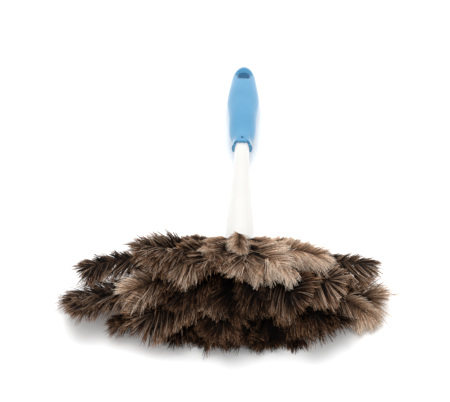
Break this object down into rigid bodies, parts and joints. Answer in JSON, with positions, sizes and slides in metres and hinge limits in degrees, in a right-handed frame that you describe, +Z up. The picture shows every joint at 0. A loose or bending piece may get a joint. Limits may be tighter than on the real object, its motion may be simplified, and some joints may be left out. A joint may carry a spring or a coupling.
{
  "type": "feather duster",
  "caption": "Short hand duster: a swelling white shaft with a soft blue grip and hang hole, and a wide head of curled brown ostrich feathers.",
  "frame": {"origin": "on the table, under the middle of the duster as it lies", "axes": "+Z up from the table, +Y along the handle away from the feathers, +X to the right of someone facing the feathers"},
  "size_m": [0.2471, 0.3299, 0.061],
  "materials": {
    "grip_plastic": "satin",
    "shaft_plastic": "gloss",
    "dowel_wood": "matte",
    "pin_steel": "satin",
    "binding_wire": "satin",
    "ostrich_feather": "matte"
  },
  "bodies": {
    "root": {"grip": "grip_plastic", "shaft": "shaft_plastic", "core_dowel": "dowel_wood", "cross_pin": "pin_steel", "quill_binding_front": "binding_wire", "quill_binding_second": "binding_wire", "quill_binding_third": "binding_wire", "quill_binding_rear": "binding_wire", "feather_floor_1": "ostrich_feather", "feather_floor_2": "ostrich_feather", "feather_floor_3": "ostrich_feather", "feather_floor_4": "ostrich_feather", "feather_floor_5": "ostrich_feather", "feather_floor_6": "ostrich_feather", "feather_floor_7": "ostrich_feather", "feather_floor_8": "ostrich_feather", "feather_floor_9": "ostrich_feather", "feather_lower_1": "ostrich_feather", "feather_lower_2": "ostrich_feather", "feather_lower_3": "ostrich_feather", "feather_lower_4": "ostrich_feather", "feather_lower_5": "ostrich_feather", "feather_lower_6": "ostrich_feather", "feather_lower_7": "ostrich_feather", "feather_lower_8": "ostrich_feather", "feather_middle_1": "ostrich_feather", "feather_middle_2": "ostrich_feather", "feather_middle_3": "ostrich_feather", "feather_middle_4": "ostrich_feather", "feather_middle_5": "ostrich_feather", "feather_middle_6": "ostrich_feather", "feather_middle_7": "ostrich_feather", "feather_middle_8": "ostrich_feather", "feather_middle_9": "ostrich_feather", "feather_upper_1": "ostrich_feather", "feather_upper_2": "ostrich_feather", "feather_upper_3": "ostrich_feather", "feather_upper_4": "ostrich_feather", "feather_upper_5": "ostrich_feather", "feather_upper_6": "ostrich_feather", "feather_upper_7": "ostrich_feather", "feather_upper_8": "ostrich_feather", "feather_crown_1": "ostrich_feather", "feather_crown_2": "ostrich_feather", "feather_crown_3": "ostrich_feather", "feather_rear_1": "ostrich_feather", "feather_rear_2": "ostrich_feather"}
  },
  "joints": []
}
